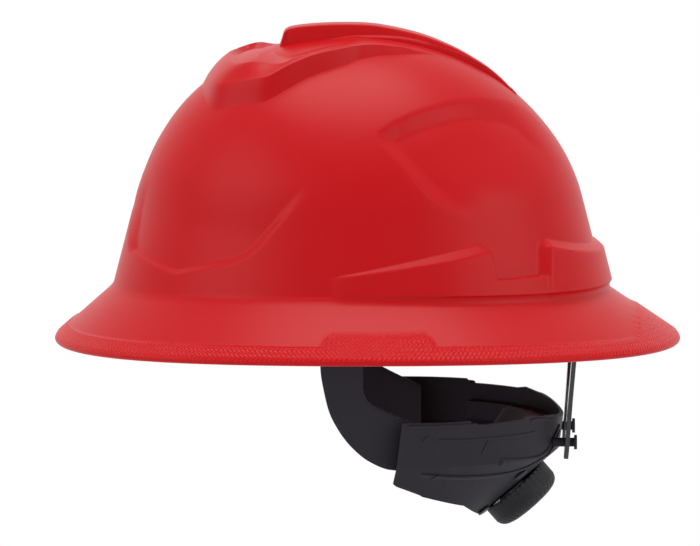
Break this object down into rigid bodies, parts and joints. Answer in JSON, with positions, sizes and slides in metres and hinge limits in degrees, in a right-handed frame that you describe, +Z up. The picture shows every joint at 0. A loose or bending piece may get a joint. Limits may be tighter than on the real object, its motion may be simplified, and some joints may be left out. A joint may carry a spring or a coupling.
{
  "type": "full brim hard hat",
  "caption": "Full brim hard hat: ridged shell over a strap cradle, with a headband whose nape cradle slides and tightens by a geared ratchet knob.",
  "frame": {"origin": "on the axis of the wearer's head, in the level plane of the brim's front and rear edges", "axes": "+Z up through the crown, -Y towards the brow, +Y towards the nape, +X the wearer's left"},
  "size_m": [0.2666, 0.3121, 0.2476],
  "materials": {
    "shell_red": "satin",
    "key_plastic": "matte",
    "strap_web": "matte",
    "band_plastic": "satin",
    "pad_cloth": "matte",
    "nape_plastic": "satin",
    "rivet_plastic": "satin",
    "knob_rubber": "matte",
    "hanger_plastic": "gloss",
    "spring_steel": "satin"
  },
  "bodies": {
    "shell_and_cradle": {"shell": "shell_red", "front_left_key": "key_plastic", "front_right_key": "key_plastic", "rear_left_key": "key_plastic", "rear_right_key": "key_plastic", "left_crown_strap": "strap_web", "right_crown_strap": "strap_web", "headband": "band_plastic", "brow_pad": "pad_cloth", "left_hanger_pin": "spring_steel", "right_hanger_pin": "spring_steel"},
    "nape_unit": {"nape_housing": "nape_plastic", "nape_liner": "nape_plastic", "housing_rivets": "rivet_plastic", "nape_pad": "pad_cloth", "click_spring": "spring_steel"},
    "knob": {"knob": "knob_rubber", "pinion": "rivet_plastic", "shaft_clip": "spring_steel"},
    "left_rack": {"left_rack": "band_plastic"},
    "right_rack": {"right_rack": "band_plastic"},
    "left_hanger": {"left_hanger": "hanger_plastic"},
    "right_hanger": {"right_hanger": "hanger_plastic"}
  },
  "joints": [
    {"name": "nape_slide", "type": "slide", "parent": "shell_and_cradle", "child": "nape_unit", "axis": [0, 1, 0], "range_m": [-0.02, 0.006]},
    {"name": "knob_turn", "type": "hinge", "parent": "nape_unit", "child": "knob", "pos_m": [0, 0.0766, -0.0732], "axis": [0, 0.6561, -0.7547], "range_deg": [-229.2, 68.8]},
    {"name": "left_rack_turn", "type": "hinge", "parent": "nape_unit", "child": "left_rack", "pos_m": [0, 0.023, -0.07], "axis": [0, 0, 1], "range_deg": [-6.3, 21]},
    {"name": "right_rack_turn", "type": "hinge", "parent": "nape_unit", "child": "right_rack", "pos_m": [0, 0.023, -0.07], "axis": [0, 0, 1], "range_deg": [-24.3, 7.3]},
    {"name": "left_hanger_swing", "type": "hinge", "parent": "shell_and_cradle", "child": "left_hanger", "pos_m": [0.04, 0.1065, 0.01], "axis": [1, 0, 0], "range_deg": [-18.8, 5.7]},
    {"name": "right_hanger_swing", "type": "hinge", "parent": "shell_and_cradle", "child": "right_hanger", "pos_m": [-0.04, 0.1065, 0.01], "axis": [1, 0, 0], "range_deg": [-18.8, 5.7]}
  ],
  "couplings": [
    {"joint": "knob_turn", "follows": "nape_slide", "rad_per_m": 200},
    {"joint": "left_rack_turn", "follows": "nape_slide", "rad_per_m": -18.254},
    {"joint": "right_rack_turn", "follows": "nape_slide", "rad_per_m": 21.171},
    {"joint": "left_hanger_swing", "follows": "nape_slide", "rad_per_m": 16.4},
    {"joint": "right_hanger_swing", "follows": "nape_slide", "rad_per_m": 16.4}
  ]
}
